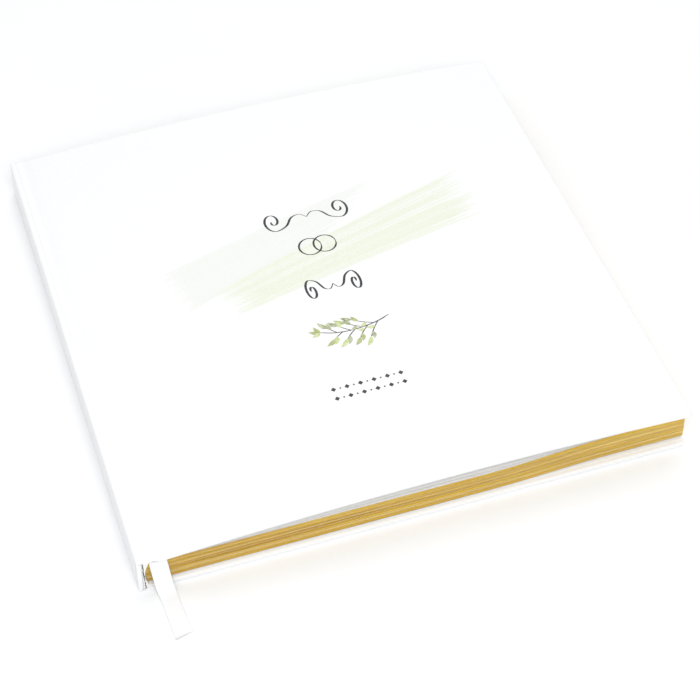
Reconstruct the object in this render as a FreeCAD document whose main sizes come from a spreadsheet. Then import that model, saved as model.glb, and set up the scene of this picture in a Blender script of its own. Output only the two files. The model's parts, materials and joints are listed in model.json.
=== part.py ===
import FreeCAD, Part
import os
import Sketcher

# A case-bound guest book lying closed on its back cover.
# +Z is up, +X runs from the spine to the fore edge and +Y from the tail to the head.
# The origin is the centre of the back cover's underside. All lengths are in millimetres.

DIMENSIONS = {
    # the case
    "cover_width": 216.0,
    "cover_height": 216.0,
    "sheet_thick": 0.3,
    "board_thick": 1.9,
    "spine_board_thick": 1.3,
    "spine_height": 17.2,
    "board_start": 8.0,
    "turn_in": 15.0,
    "front_lip_start": 5.0,
    "spine_lip_end": 4.9,
    "back_lip_start": 6.2,
    "corner_round": 1.2,
    # the front cover is warped into a low arch: one circle in the XZ plane
    "crown_radius": 1547.95,
    "crown_centre_x": 22.99,
    "crown_centre_z": -1525.61,
    "crown_plan_low": 10.0,
    "crown_plan_high": 30.0,
    # endpapers
    "paste_thick": 0.2,
    "paste_start": 8.5,
    "leaf_thick": 0.25,
    "leaf_start": 4.7,
    "front_leaf_z": 14.22,
    "back_leaf_z": 2.85,
    # squares: how far the covers stand past the pages
    "square_end": 2.0,
    "square_fore": 1.0,
    # the sewn sections
    "section_thick": 1.3,
    "section_pitch": 1.35,
    "section_bottom": 3.15,
    "fore_lean": 0.8,
    "fold_start": 2.85,
    "back_bulge": 0.8,
    # the back of the block
    "back_radius": 14.35,
    "mull_gap": 0.32,
    "mull_thick": 0.15,
    "lining_gap": 0.49,
    "lining_thick": 0.15,
    "lining_end": 6.0,
    "thread_radius": 0.12,
    "thread_gap": 0.02,
    "stitch_length": 38.0,
    "stitch_pitch": 50.0,
    # the ribbon
    "ribbon_width": 6.6,
    "ribbon_thick": 0.25,
    "ribbon_start": 5.2,
    "ribbon_top": 14.05,
    "ribbon_floor": 0.15,
    "ribbon_drop": 106.6,
    "ribbon_bend": 0.5,
    "ribbon_slope_z": 6.05,
    "ribbon_slope_y": 0.2,
    "ribbon_kick_z": 3.25,
    "ribbon_kick_y": 2.1,
    "ribbon_foot_z": 1.45,
    "ribbon_foot_y": 2.5,
    "ribbon_lie_y": 3.6,
    "ribbon_head": 107.8,
    "ribbon_reach": 131.0,
    "tab_start": 1.96,
    "tab_thick": 0.18,
    "tab_low": 6.0,
    "tab_high": 12.5,
    "tab_length": 26.0,
    # how far cutting shapes stand past the faces that they cut
    "overcut": 1.0,
    "joint_overcut": 3.0,
    "paste_clear": 0.1,
}

SECTION_COUNT = 8
STITCH_COUNT = 4
TOUCH = 0.01

doc = FreeCAD.newDocument("guest_book")
dims = doc.addObject("Spreadsheet::Sheet", "dims")
for row, (alias, value) in enumerate(DIMENSIONS.items(), start=1):
    dims.set("A%d" % row, alias)
    dims.set("B%d" % row, str(value))
    dims.setAlias("B%d" % row, alias)
doc.recompute()

nodes = []


def ref(text):
    """Turn the names of dimensions in a formula into references to the sheet."""
    words = text.replace("(", " ( ").replace(")", " ) ").split()
    return " ".join("dims." + word if word in DIMENSIONS else word for word in words)


def value_of(text):
    """The number that a formula gives now."""
    result = dims.evalExpression(ref(text))
    return float(getattr(result, "Value", result))


def bind(item, prop, text):
    item.setExpression(prop, ref(text))


def keep(item, name):
    """Name a finished sub-part: the label is the name of its file."""
    item.Label = name
    nodes.append(item)
    return item


# ---------------------------------------------------------------- solids from primitives

def box(name, x_range, y_range, z_range):
    """A box between formulas. X is counted from the outer face of the spine."""
    item = doc.addObject("Part::Box", name)
    for prop, (low, high) in zip(("Length", "Width", "Height"), (x_range, y_range, z_range)):
        bind(item, prop, "( %s ) - ( %s )" % (high, low))
    bind(item, "Placement.Base.x", "( %s ) - cover_width / 2" % x_range[0])
    bind(item, "Placement.Base.y", y_range[0])
    bind(item, "Placement.Base.z", z_range[0])
    return item


def across(half):
    """A Y range that is the same on both sides of the middle."""
    return ("- ( %s )" % half, half)


def crown_cylinder(name, depth):
    """The arched surface of the front cover, at a depth below its outer face."""
    item = doc.addObject("Part::Cylinder", name)
    bind(item, "Radius", "crown_radius - ( %s )" % depth)
    bind(item, "Height", "cover_height")
    item.Placement.Rotation = FreeCAD.Rotation(FreeCAD.Vector(1, 0, 0), -90)
    bind(item, "Placement.Base.x", "crown_centre_x")
    bind(item, "Placement.Base.y", "- cover_height / 2")
    bind(item, "Placement.Base.z", "crown_centre_z")
    return item


def cut(name, base, tool):
    item = doc.addObject("Part::Cut", name)
    item.Base = base
    item.Tool = tool
    return item


def common(name, first, second):
    item = doc.addObject("Part::Common", name)
    item.Base = first
    item.Tool = second
    return item


def fuse(name, shapes):
    item = doc.addObject("Part::MultiFuse", name)
    item.Shapes = shapes
    return item


def crown_layer(name, x_range, half, top, bottom):
    """A layer of the arched front cover between two depths."""
    shell = cut(name + "_shell", crown_cylinder(name + "_outer", top),
                crown_cylinder(name + "_inner", bottom))
    plan = box(name + "_plan", x_range, across(half),
               ("crown_plan_low", "crown_plan_high"))
    return common(name, shell, plan)


# ---------------------------------------------------------------- solids from sketches

def origin_plane(body, role):
    for feature in body.Origin.OriginFeatures:
        if feature.Role == role:
            return feature
    raise ValueError(role)


def new_sketch(body, name, role):
    sketch = body.newObject("Sketcher::SketchObject", name)
    sketch.AttachmentSupport = (origin_plane(body, role), [""])
    sketch.MapMode = "FlatFace"
    return sketch


def fix_point(sketch, line, end, across_text, up_text):
    """Hold one end of a line at a position given by two formulas."""
    for kind, text in (("DistanceX", across_text), ("DistanceY", up_text)):
        index = sketch.addConstraint(
            Sketcher.Constraint(kind, -1, 1, line, end, value_of(text)))
        bind(sketch, "Constraints[%d]" % index, text)


def polygon(sketch, corners):
    """A closed outline through corners that are each held by a pair of formulas."""
    points = [FreeCAD.Vector(value_of(a), value_of(b), 0) for a, b in corners]
    count = len(points)
    for index in range(count):
        sketch.addGeometry(Part.LineSegment(points[index], points[(index + 1) % count]))
    for index in range(count):
        sketch.addConstraint(Sketcher.Constraint("Coincident", index, 2, (index + 1) % count, 1))
    for index, (across_text, up_text) in enumerate(corners):
        fix_point(sketch, index, 1, across_text, up_text)


def pad(body, name, sketch, length, midplane=True):
    feature = body.newObject("PartDesign::Pad", name)
    feature.Profile = sketch
    feature.Midplane = midplane
    bind(feature, "Length", length)
    sketch.Visibility = False
    return feature


def slab(name, x_range, z_range, height):
    """A flat rectangular piece: its end section is drawn in XZ and padded along Y."""
    body = doc.addObject("PartDesign::Body", name)
    sketch = new_sketch(body, name + "_sketch", "XZ_Plane")
    left, right = ("( %s ) - cover_width / 2" % x for x in x_range)
    low, high = z_range
    polygon(sketch, [(left, low), (right, low), (right, high), (left, high)])
    pad(body, name + "_pad", sketch, height)
    return body


def upright_edges(shape):
    """Names of the upright edges on the fore edge's side."""
    names = []
    for index, edge in enumerate(shape.Edges, start=1):
        ends = [vertex.Point for vertex in edge.Vertexes]
        upright = abs(ends[0].x - ends[1].x) < TOUCH and abs(ends[0].y - ends[1].y) < TOUCH
        if upright and ends[0].x > 0:
            names.append("Edge%d" % index)
    return names


# ---------------------------------------------------------------- boards

board_half = "cover_height / 2 - sheet_thick"
board_x = ("board_start", "cover_width - sheet_thick")
board_z = ("sheet_thick", "sheet_thick + board_thick")

back_board = slab("back_board", board_x, board_z, "cover_height - 2 * sheet_thick")
doc.recompute()
square_board = back_board.Tip
rounding = back_board.newObject("PartDesign::Fillet", "back_board_corners")
rounding.Base = (square_board, upright_edges(square_board.Shape))
bind(rounding, "Radius", "corner_round")
keep(back_board, "back_board")

front_plate = crown_layer("front_plate", board_x, board_half,
                          "sheet_thick", "sheet_thick + board_thick")
doc.recompute()
front_board = doc.addObject("Part::Fillet", "front_board")
front_board.Base = front_plate
front_corner_edges = upright_edges(front_plate.Shape)
front_board.Edges = [(int(name[4:]), DIMENSIONS["corner_round"], DIMENSIONS["corner_round"])
                     for name in front_corner_edges]
keep(front_board, "front_board")

spine_board = slab("spine_board", ("sheet_thick", "sheet_thick + spine_board_thick"),
                   ("sheet_thick", "spine_height - sheet_thick"),
                   "cover_height - 2 * sheet_thick")
keep(spine_board, "spine_board")

# ---------------------------------------------------------------- cover sheet, panel by panel
# The sheet goes round each board's outer edges and comes back on the inside as turn-ins.

cover_half = "cover_height / 2"
window_half = "cover_height / 2 - turn_in"
window_end = "cover_width - turn_in"
case_thick = "2 * sheet_thick + board_thick"

back_envelope = box("back_envelope", ("back_lip_start", "cover_width"), across(cover_half),
                    ("0", case_thick))
back_board_room = box("back_board_room", ("board_start - joint_overcut", "cover_width - sheet_thick"),
                      across(board_half), board_z)
back_window = box("back_window", ("board_start - joint_overcut", window_end), across(window_half),
                  ("sheet_thick", case_thick + " + overcut"))
back_joint_room = box("back_joint_room", ("board_start - joint_overcut", "board_start"),
                      across(cover_half + " + overcut"), ("sheet_thick", case_thick + " + overcut"))
back_rooms = fuse("back_rooms", [back_board_room, back_window, back_joint_room])
keep(cut("back_cover_sheet", back_envelope, back_rooms), "back_cover_sheet")

front_envelope = crown_layer("front_envelope", ("front_lip_start", "cover_width"), cover_half,
                             "0", case_thick)
front_board_room = crown_layer("front_board_room",
                               ("board_start - joint_overcut", "cover_width - sheet_thick"),
                               board_half, "sheet_thick", "sheet_thick + board_thick")
front_window = crown_layer("front_window", ("board_start - joint_overcut", window_end), window_half,
                           "sheet_thick", case_thick + " + overcut")
front_joint_room = crown_layer("front_joint_room", ("board_start - joint_overcut", "board_start"),
                               cover_half + " + overcut", "sheet_thick", case_thick + " + overcut")
front_rooms = fuse("front_rooms", [front_board_room, front_window, front_joint_room])
keep(cut("front_cover_sheet", front_envelope, front_rooms), "front_cover_sheet")

# The spine panel is a channel round the spine board, with a lip into each joint.
spine_inner = "2 * sheet_thick + spine_board_thick"
spine_envelope = box("spine_envelope", ("0", "spine_lip_end"), across(cover_half),
                     ("0", "spine_height"))
spine_board_room = box("spine_board_room", ("sheet_thick", "sheet_thick + spine_board_thick"),
                       across(board_half), ("sheet_thick", "spine_height - sheet_thick"))
spine_window = box("spine_window", ("sheet_thick", "spine_lip_end + overcut"), across(window_half),
                   ("sheet_thick", "spine_height - sheet_thick"))
spine_hollow = box("spine_hollow", (spine_inner, "spine_lip_end + overcut"),
                   across(cover_half + " + overcut"), ("sheet_thick", "spine_height - sheet_thick"))
spine_rooms = fuse("spine_rooms", [spine_board_room, spine_window, spine_hollow])
keep(cut("spine_cover_sheet", spine_envelope, spine_rooms), "spine_cover_sheet")

# ---------------------------------------------------------------- endpapers
# A pastedown lies on the turn-ins and fills the window between them.

page_height = "cover_height - 2 * square_end"
page_half = "cover_height / 2 - square_end"
page_end = "cover_width - square_fore"
fill_half = window_half + " - paste_clear"
fill_end = window_end + " - paste_clear"

back_paste_sheet = box("back_paste_sheet", ("paste_start", page_end), across(page_half),
                       (case_thick, case_thick + " + paste_thick"))
back_paste_fill = box("back_paste_fill", ("paste_start", fill_end), across(fill_half),
                      ("sheet_thick + board_thick", case_thick + " + paste_thick"))
keep(fuse("back_pastedown", [back_paste_sheet, back_paste_fill]), "back_pastedown")

front_paste_sheet = crown_layer("front_paste_sheet", ("paste_start", page_end), page_half,
                                case_thick, case_thick + " + paste_thick")
front_paste_fill = crown_layer("front_paste_fill", ("paste_start", fill_end), fill_half,
                               "sheet_thick + board_thick", case_thick + " + paste_thick")
keep(fuse("front_pastedown", [front_paste_sheet, front_paste_fill]), "front_pastedown")

keep(slab("front_flyleaf", ("leaf_start", page_end),
          ("front_leaf_z", "front_leaf_z + leaf_thick"), page_height), "front_flyleaf")
keep(slab("back_flyleaf", ("leaf_start", page_end),
          ("back_leaf_z", "back_leaf_z + leaf_thick"), page_height), "back_flyleaf")

# ---------------------------------------------------------------- sewn sections
# Section 1 is on top. Each has a round fold, and the folds lie on an arc, so the back of the
# block is convex. The fore edge is trimmed flat and leans out towards the lower sections.


def fold_offset(number):
    """How far a section's fold lies behind the foremost fold, as a share of the bulge."""
    middle = (SECTION_COUNT + 1) / 2
    return round(((number - middle) / (middle - 1)) ** 2, 4)


def section_low(number):
    return "section_bottom + %d * section_pitch" % (SECTION_COUNT - number)


def section(number):
    name = "section_%d" % number
    low = section_low(number)
    high = "%s + section_thick" % low
    centre = "fold_start + back_bulge * %s + section_thick / 2 - cover_width / 2" % fold_offset(number)
    share = (number - 1) / (SECTION_COUNT - 1)
    end = "%s + fore_lean * %.4f - cover_width / 2" % (page_end, share)
    body = doc.addObject("PartDesign::Body", name)
    sketch = new_sketch(body, name + "_sketch", "XZ_Plane")
    x_fold, x_end = value_of(centre), value_of(end)
    z_low, z_high = value_of(low), value_of(high)
    radius = (z_high - z_low) / 2
    corner = [FreeCAD.Vector(*point, 0) for point in
              ((x_fold, z_low), (x_end, z_low), (x_end, z_high), (x_fold, z_high))]
    fold_back = FreeCAD.Vector(x_fold - radius, z_low + radius, 0)
    for index in range(3):
        sketch.addGeometry(Part.LineSegment(corner[index], corner[index + 1]))
    sketch.addGeometry(Part.Arc(corner[3], fold_back, corner[0]))
    for index in range(3):
        fix_point(sketch, index, 1, (centre, end, end)[index], (low, low, high)[index])
        if index:
            sketch.addConstraint(Sketcher.Constraint("Coincident", index - 1, 2, index, 1))
    fix_point(sketch, 2, 2, centre, high)
    # the fold runs on smoothly from the top face and meets the bottom face
    arc = sketch.Geometry[3]
    top_end, low_end = (1, 2) if arc.StartPoint.distanceToPoint(corner[3]) < 0.01 else (2, 1)
    sketch.addConstraint(Sketcher.Constraint("Tangent", 3, top_end, 2, 2))
    sketch.addConstraint(Sketcher.Constraint("Coincident", 3, low_end, 0, 1))
    pad(body, name + "_pad", sketch, page_height)
    keep(body, name)


for section_number in range(1, SECTION_COUNT + 1):
    section(section_number)

# Stitches along the back of each fold.
stitches = []
for section_number in range(1, SECTION_COUNT + 1):
    for stitch_number in range(STITCH_COUNT):
        stitch = doc.addObject("Part::Cylinder", "stitch_%d_%d" % (section_number, stitch_number))
        stitch.Placement.Rotation = FreeCAD.Rotation(FreeCAD.Vector(1, 0, 0), -90)
        bind(stitch, "Radius", "thread_radius")
        bind(stitch, "Height", "stitch_length")
        bind(stitch, "Placement.Base.x",
             "fold_start + back_bulge * %s - thread_radius - thread_gap - cover_width / 2"
             % fold_offset(section_number))
        bind(stitch, "Placement.Base.y",
             "( %s ) * stitch_pitch - stitch_length / 2" % (stitch_number - (STITCH_COUNT - 1) / 2))
        bind(stitch, "Placement.Base.z", section_low(section_number) + " + section_thick / 2")
        stitches.append(stitch)
threads = doc.addObject("Part::Compound", "sewing_threads")
threads.Links = stitches
keep(threads, "sewing_threads")

# ---------------------------------------------------------------- back of the block

block_low = "section_bottom"
block_high = "section_bottom + %d * section_pitch + section_thick" % (SECTION_COUNT - 1)
block_middle = "section_bottom + ( %d * section_pitch + section_thick ) / 2" % (SECTION_COUNT - 1)


def back_strip(name, gap, thick, end_gap):
    """A curved strip that follows the convex back of the block."""
    outer = doc.addObject("Part::Cylinder", name + "_outer")
    inner = doc.addObject("Part::Cylinder", name + "_inner")
    for item, depth in ((outer, "%s + %s" % (gap, thick)), (inner, gap)):
        item.Placement.Rotation = FreeCAD.Rotation(FreeCAD.Vector(1, 0, 0), -90)
        bind(item, "Radius", "back_radius + %s" % depth)
        bind(item, "Height", "cover_height")
        bind(item, "Placement.Base.x", "fold_start + back_radius - cover_width / 2")
        bind(item, "Placement.Base.y", "- cover_height / 2")
        bind(item, "Placement.Base.z", block_middle)
    shell = cut(name + "_shell", outer, inner)
    reach = box(name + "_reach", ("0", "fold_start + joint_overcut"), across(page_half + " - " + end_gap),
                (block_low, block_high))
    return keep(common(name, shell, reach), name)


back_strip("spine_mull", "mull_gap", "mull_thick", "lining_end")
back_strip("spine_lining", "lining_gap", "lining_thick", "lining_end / 2")

# ---------------------------------------------------------------- ribbon bookmark
# It is glued to the back of the block by a tab, comes round the head, runs over the top
# section, falls over the tail edge and lies out on the table.

half = "ribbon_thick / 2"
ribbon_line = [
    ("ribbon_head", "ribbon_top"),
    ("ribbon_bend - ribbon_drop", "ribbon_top"),
    ("- ribbon_drop", "ribbon_top - ribbon_bend"),
    ("- ribbon_drop - ribbon_slope_y", "ribbon_slope_z"),
    ("- ribbon_drop - ribbon_kick_y", "ribbon_kick_z"),
    ("- ribbon_drop - ribbon_foot_y", "ribbon_foot_z"),
    ("- ribbon_drop - ribbon_lie_y", "ribbon_floor"),
    ("- ribbon_reach", "ribbon_floor"),
]
ribbon_body = doc.addObject("PartDesign::Body", "ribbon_run")
ribbon_sketch = new_sketch(ribbon_body, "ribbon_run_sketch", "YZ_Plane")


def shifted(line, side):
    """The corners of a line moved sideways by half the ribbon's thickness."""
    amount = DIMENSIONS["ribbon_thick"] / 2 * side
    points = [FreeCAD.Vector(value_of(a), value_of(b), 0) for a, b in line]
    moved = []
    for index, point in enumerate(points):
        before = points[index] - points[index - 1] if index else points[1] - points[0]
        after = points[index + 1] - point if index + 1 < len(points) else before
        normals = [FreeCAD.Vector(-leg.y, leg.x, 0).normalize() for leg in (before, after)]
        bisector = (normals[0] + normals[1]).normalize()
        reach = amount / bisector.dot(normals[0])
        moved.append((bisector.x * reach, bisector.y * reach))
    return [("%s + ( %.4f )" % (a, dx), "%s + ( %.4f )" % (b, dz))
            for (a, b), (dx, dz) in zip(line, moved)]


polygon(ribbon_sketch, shifted(ribbon_line, 1) + shifted(ribbon_line, -1)[::-1])
pad(ribbon_body, "ribbon_run_pad", ribbon_sketch, "ribbon_width")
bind(ribbon_body, "Placement.Base.x", "ribbon_start + ribbon_width / 2 - cover_width / 2")

ribbon_bridge = box("ribbon_bridge", ("tab_start", "ribbon_start + ribbon_width"),
                    ("ribbon_head - ribbon_thick", "ribbon_head"),
                    ("tab_low", "ribbon_top + " + half))
ribbon_tab = box("ribbon_tab", ("tab_start", "tab_start + tab_thick"),
                 ("ribbon_head - tab_length", "ribbon_head"), ("tab_low", "tab_high"))
keep(fuse("ribbon_bookmark", [ribbon_body, ribbon_bridge, ribbon_tab]), "ribbon_bookmark")

# ---------------------------------------------------------------- check and write

doc.recompute()
for item in doc.Objects:
    if "Invalid" in item.State or "Error" in item.State:
        raise RuntimeError("%s is %s %s" % (item.Name, item.State, item.getStatusString()))

os.makedirs("parts", exist_ok=True)
for item in nodes:
    shape = item.Shape
    if shape.isNull() or not shape.isValid():
        raise RuntimeError("%s has no valid shape" % item.Label)
    print("%-18s solids %d volume %.1f mm3" % (item.Label, len(shape.Solids), shape.Volume))
    shape.exportStep(os.path.join("parts", item.Label + ".step"))
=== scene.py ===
import json
import math
import random
import bpy
from mathutils import Matrix, Vector

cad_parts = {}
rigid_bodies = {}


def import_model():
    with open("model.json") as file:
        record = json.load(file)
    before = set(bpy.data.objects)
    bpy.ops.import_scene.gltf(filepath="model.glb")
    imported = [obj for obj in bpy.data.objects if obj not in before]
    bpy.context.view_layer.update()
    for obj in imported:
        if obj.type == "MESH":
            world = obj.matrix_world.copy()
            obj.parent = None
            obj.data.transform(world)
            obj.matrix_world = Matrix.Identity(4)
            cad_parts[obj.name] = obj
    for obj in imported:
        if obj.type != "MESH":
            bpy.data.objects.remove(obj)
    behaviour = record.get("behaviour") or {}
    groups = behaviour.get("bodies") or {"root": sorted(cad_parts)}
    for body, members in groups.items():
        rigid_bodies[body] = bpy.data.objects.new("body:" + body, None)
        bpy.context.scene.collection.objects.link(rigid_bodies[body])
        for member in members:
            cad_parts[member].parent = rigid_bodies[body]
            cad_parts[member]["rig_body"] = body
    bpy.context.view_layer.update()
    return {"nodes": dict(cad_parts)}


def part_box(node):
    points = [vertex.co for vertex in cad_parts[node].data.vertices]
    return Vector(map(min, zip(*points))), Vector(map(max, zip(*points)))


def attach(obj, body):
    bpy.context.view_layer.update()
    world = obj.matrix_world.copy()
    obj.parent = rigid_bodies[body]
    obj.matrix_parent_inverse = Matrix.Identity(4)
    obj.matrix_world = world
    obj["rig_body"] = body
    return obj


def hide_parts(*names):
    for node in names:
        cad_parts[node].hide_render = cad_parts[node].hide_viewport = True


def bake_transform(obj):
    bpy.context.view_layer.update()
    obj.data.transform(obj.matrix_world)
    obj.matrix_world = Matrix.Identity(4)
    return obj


# The looks of a case-bound guest book lying closed on a table. Lengths are in metres, in the
# frame of the CAD part: +X from the spine to the fore edge, +Y from the tail to the head, +Z up.

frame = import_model()
nodes = frame["nodes"]
rng = random.Random(7)

MM = 0.001

# ---------------------------------------------------------------- places taken from the frame

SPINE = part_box("spine_cover_sheet")[0].x
SPINE_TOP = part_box("spine_cover_sheet")[1].z
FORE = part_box("back_cover_sheet")[1].x
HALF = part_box("back_cover_sheet")[1].y
CASE_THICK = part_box("back_cover_sheet")[1].z
SHEET_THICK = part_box("back_board")[0].z
BOARD_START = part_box("back_board")[0].x
SPINE_CASE_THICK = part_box("spine_board")[1].x + SHEET_THICK - SPINE
PAGE_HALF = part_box("section_1")[1].y
PAGE_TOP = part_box("section_1")[1].z
TURN_IN = 15 * MM

# how far apart the points of a mesh lie
STEP_ACROSS, STEP_ALONG = 6 * MM, 9 * MM
JOINT_STEP = 0.4 * MM
LEAF_STEP = 12 * MM


def from_spine(length):
    """The X of a point that lies this many millimetres from the spine's outer face."""
    return SPINE + length * MM


def circle_through(a, b, c):
    """Centre and radius of the circle through three (x, z) points."""
    rows = Matrix([(q[0] - a[0], q[1] - a[1]) for q in (b, c)])
    sums = Vector([(q[0] ** 2 - a[0] ** 2 + q[1] ** 2 - a[1] ** 2) / 2 for q in (b, c)])
    centre = rows.inverted() @ sums
    return centre, (centre - Vector(a)).length


def crown_of(node):
    """The arch of the front cover's outer face: a circle through its two ends and its peak."""
    points = [v.co for v in node.data.vertices]
    left, right = (pick(p.x for p in points) for pick in (min, max))
    ends = [max((p.z, p.x) for p in points if abs(p.x - x) < 0.01 * MM) for x in (left, right)]
    peak = max((p.z, p.x) for p in points)
    return circle_through(*[(x, z) for z, x in (ends[0], peak, ends[1])])


CROWN_CENTRE, CROWN_RADIUS = crown_of(nodes["front_cover_sheet"])
CROWN_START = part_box("front_cover_sheet")[0].x


def crown(x):
    """Height of the front cover's outer face."""
    reach = max(x, CROWN_START) - CROWN_CENTRE[0]
    return CROWN_CENTRE[1] + math.sqrt(CROWN_RADIUS ** 2 - reach ** 2)


# ---------------------------------------------------------------- materials

def material(name, roughness, metallic=0.0, sheen=0.0, specular=0.5):
    """A new material with one plain shader."""
    mat = bpy.data.materials.new(name)
    mat.use_nodes = True
    shader = mat.node_tree.nodes["Principled BSDF"]
    shader.inputs["Roughness"].default_value = roughness
    shader.inputs["Metallic"].default_value = metallic
    shader.inputs["Sheen Weight"].default_value = sheen
    shader.inputs["Specular IOR Level"].default_value = specular
    return mat


def add(mat, kind, **values):
    """A shader node with some of its inputs or settings filled in."""
    node = mat.node_tree.nodes.new(kind)
    for key, value in values.items():
        if key in node.inputs:
            node.inputs[key].default_value = value
        else:
            setattr(node, key, value)
    return node


def link(mat, source, output, target, socket):
    """Joins one node's named output to another's named input."""
    mat.node_tree.links.new(source.outputs[output], target.inputs[socket])


def grain(mat, scale, stretch=(1, 1, 1), detail=4.0, roughness=0.6):
    """Noise in the object's own space, stretched along its axes."""
    place = add(mat, "ShaderNodeTexCoord")
    mapping = add(mat, "ShaderNodeMapping", Scale=stretch)
    noise = add(mat, "ShaderNodeTexNoise", Scale=scale, Detail=detail, Roughness=roughness)
    link(mat, place, "Object", mapping, "Vector")
    link(mat, mapping, "Vector", noise, "Vector")
    return noise


def ramp(mat, source, output, stops):
    """Colours along a value: stops are (place, colour)."""
    node = add(mat, "ShaderNodeValToRGB")
    elements = node.color_ramp.elements
    while len(elements) < len(stops):
        elements.new(0.5)
    for element, (place, colour) in zip(elements, stops):
        element.position = place
        element.color = (*colour, 1)
    link(mat, source, output, node, "Fac")
    return node


def shader_of(mat):
    """The material's one shader."""
    return mat.node_tree.nodes["Principled BSDF"]


def paint(mat, colours):
    """The shader takes its colour from a ramp."""
    link(mat, colours, "Color", shader_of(mat), "Base Color")


def emboss(mat, source, output, strength, distance):
    """The shader takes its relief from a pattern."""
    bump = add(mat, "ShaderNodeBump", Strength=strength, Distance=distance)
    link(mat, source, output, bump, "Height")
    link(mat, bump, "Normal", shader_of(mat), "Normal")


def grained(name, dark, light, scale, roughness, stretch=(1, 1, 1), bump=0.15,
            distance=0.02 * MM, **shader):
    """A surface whose colour drifts between two tones with its grain."""
    mat = material(name, roughness, **shader)
    noise = grain(mat, scale, stretch)
    paint(mat, ramp(mat, noise, "Fac", [(0.35, dark), (0.65, light)]))
    emboss(mat, noise, "Fac", bump, distance)
    return mat


def woven(name, dark, light, pitch, roughness, sheen=0.0, bump=0.4, distance=0.05 * MM):
    """A plain weave: crossed bands, one along X and one along Y, at a thread pitch."""
    mat = material(name, roughness, sheen=sheen)
    place = add(mat, "ShaderNodeTexCoord")
    bands = math.pi / 10 / pitch    # the wave texture repeats every pi / 10 / Scale
    threads = []
    for direction in ("X", "Y"):
        wave = add(mat, "ShaderNodeTexWave", wave_type="BANDS", bands_direction=direction,
                   wave_profile="SIN", Scale=bands, Distortion=0.6, Detail=1.0)
        link(mat, place, "Object", wave, "Vector")
        threads.append(wave)
    weave = add(mat, "ShaderNodeMath", operation="MAXIMUM")
    mat.node_tree.links.new(threads[0].outputs["Fac"], weave.inputs[0])
    mat.node_tree.links.new(threads[1].outputs["Fac"], weave.inputs[1])
    paint(mat, ramp(mat, weave, "Value", [(0.0, dark), (1.0, light)]))
    emboss(mat, weave, "Value", bump, distance)
    return mat


laminate = grained("matt_laminate", (0.898, 0.905, 0.912), (0.918, 0.925, 0.932), 900, 0.42,
                   bump=0.05, specular=0.35)
endpaper = grained("endpaper", (0.86, 0.855, 0.84), (0.90, 0.895, 0.88), 700, 0.85, bump=0.2)
greyboard = grained("raw_greyboard", (0.34, 0.33, 0.31), (0.47, 0.455, 0.43), 1400, 0.9, bump=0.3)
leaf_paper = grained("leaf_paper", (0.83, 0.82, 0.78), (0.88, 0.87, 0.835), 800, 0.85, bump=0.2)
lining = grained("lining_paper", (0.74, 0.71, 0.65), (0.82, 0.79, 0.73), 600, 0.85, bump=0.3)
# painted shade: near-black paper that stands for the shadowed gap at the ends of the spine
painted_gap_shade = grained("painted_gap_shade", (0.02, 0.02, 0.02), (0.07, 0.065, 0.06), 2200, 0.6, bump=0.3)
linen = woven("waxed_linen", (0.66, 0.63, 0.56), (0.84, 0.81, 0.74), 0.15 * MM, 0.6)
gauze = woven("mull_gauze", (0.55, 0.52, 0.46), (0.86, 0.84, 0.79), 0.6 * MM, 0.8)
satin = woven("ribbon_satin", (0.85, 0.855, 0.86), (0.94, 0.945, 0.95), 0.16 * MM, 0.38,
              sheen=0.25, bump=0.15, distance=0.02 * MM)


def gilt_edges(name, deep, full, pale):
    """Gilding over the cut edges of many leaves: fine streaks along the leaves, worn in places."""
    mat = material(name, 0.40, metallic=0.9)
    leaves = grain(mat, 60, stretch=(0.15, 0.15, 26), detail=4.0, roughness=0.75)
    wear = grain(mat, 260, stretch=(0.5, 0.5, 8), detail=5.0)
    gold = ramp(mat, leaves, "Fac", [(0.36, deep), (0.48, full), (0.55, full), (0.68, pale)])
    worn = ramp(mat, wear, "Fac", [(0.40, (0.90, 0.88, 0.84)), (0.62, (1.0, 1.0, 1.0))])
    # less blue in the gold near the spine, more towards the fore edge
    place = add(mat, "ShaderNodeTexCoord")
    parts = add(mat, "ShaderNodeSeparateXYZ")
    across = add(mat, "ShaderNodeMapRange")
    across.inputs["From Min"].default_value, across.inputs["From Max"].default_value = SPINE, FORE
    link(mat, place, "Object", parts, "Vector")
    link(mat, parts, "X", across, "Value")
    spine_to_fore_tint = ramp(mat, across, "Result", [(0.1, (0.88, 0.82, 0.30)), (0.9, (1.0, 1.0, 1.0))])
    tinted = gold.outputs["Color"]
    for tint in (worn, spine_to_fore_tint):
        mix = add(mat, "ShaderNodeMix", data_type="RGBA", blend_type="MULTIPLY")
        mix.inputs["Factor"].default_value = 1.0
        mat.node_tree.links.new(tinted, mix.inputs["A"])
        mat.node_tree.links.new(tint.outputs["Color"], mix.inputs["B"])
        tinted = mix.outputs["Result"]
    mat.node_tree.links.new(tinted, shader_of(mat).inputs["Base Color"])
    emboss(mat, leaves, "Fac", 0.35, 0.05 * MM)
    return mat


gilt = gilt_edges("gilt_edges", (0.40, 0.23, 0.01), (0.86, 0.59, 0.025), (0.98, 0.83, 0.16))
# a deeper gold for some leaves at random, also used as painted shade on the outermost leaves of
# each section
gilt_deep_and_shade = gilt_edges("gilt_edges_deep_and_shade", (0.20, 0.08, 0.01), (0.42, 0.20, 0.02),
                       (0.70, 0.42, 0.05))
gilt_worn = gilt_edges("gilt_edges_worn", (0.66, 0.46, 0.14), (0.90, 0.76, 0.42),
                       (0.96, 0.90, 0.76))


def ink(name, thin, full, scale=900):
    """Printed colour that is fuller in some places than in others."""
    return grained(name, thin, full, scale, 0.45, bump=0.0, specular=0.35)


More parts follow.
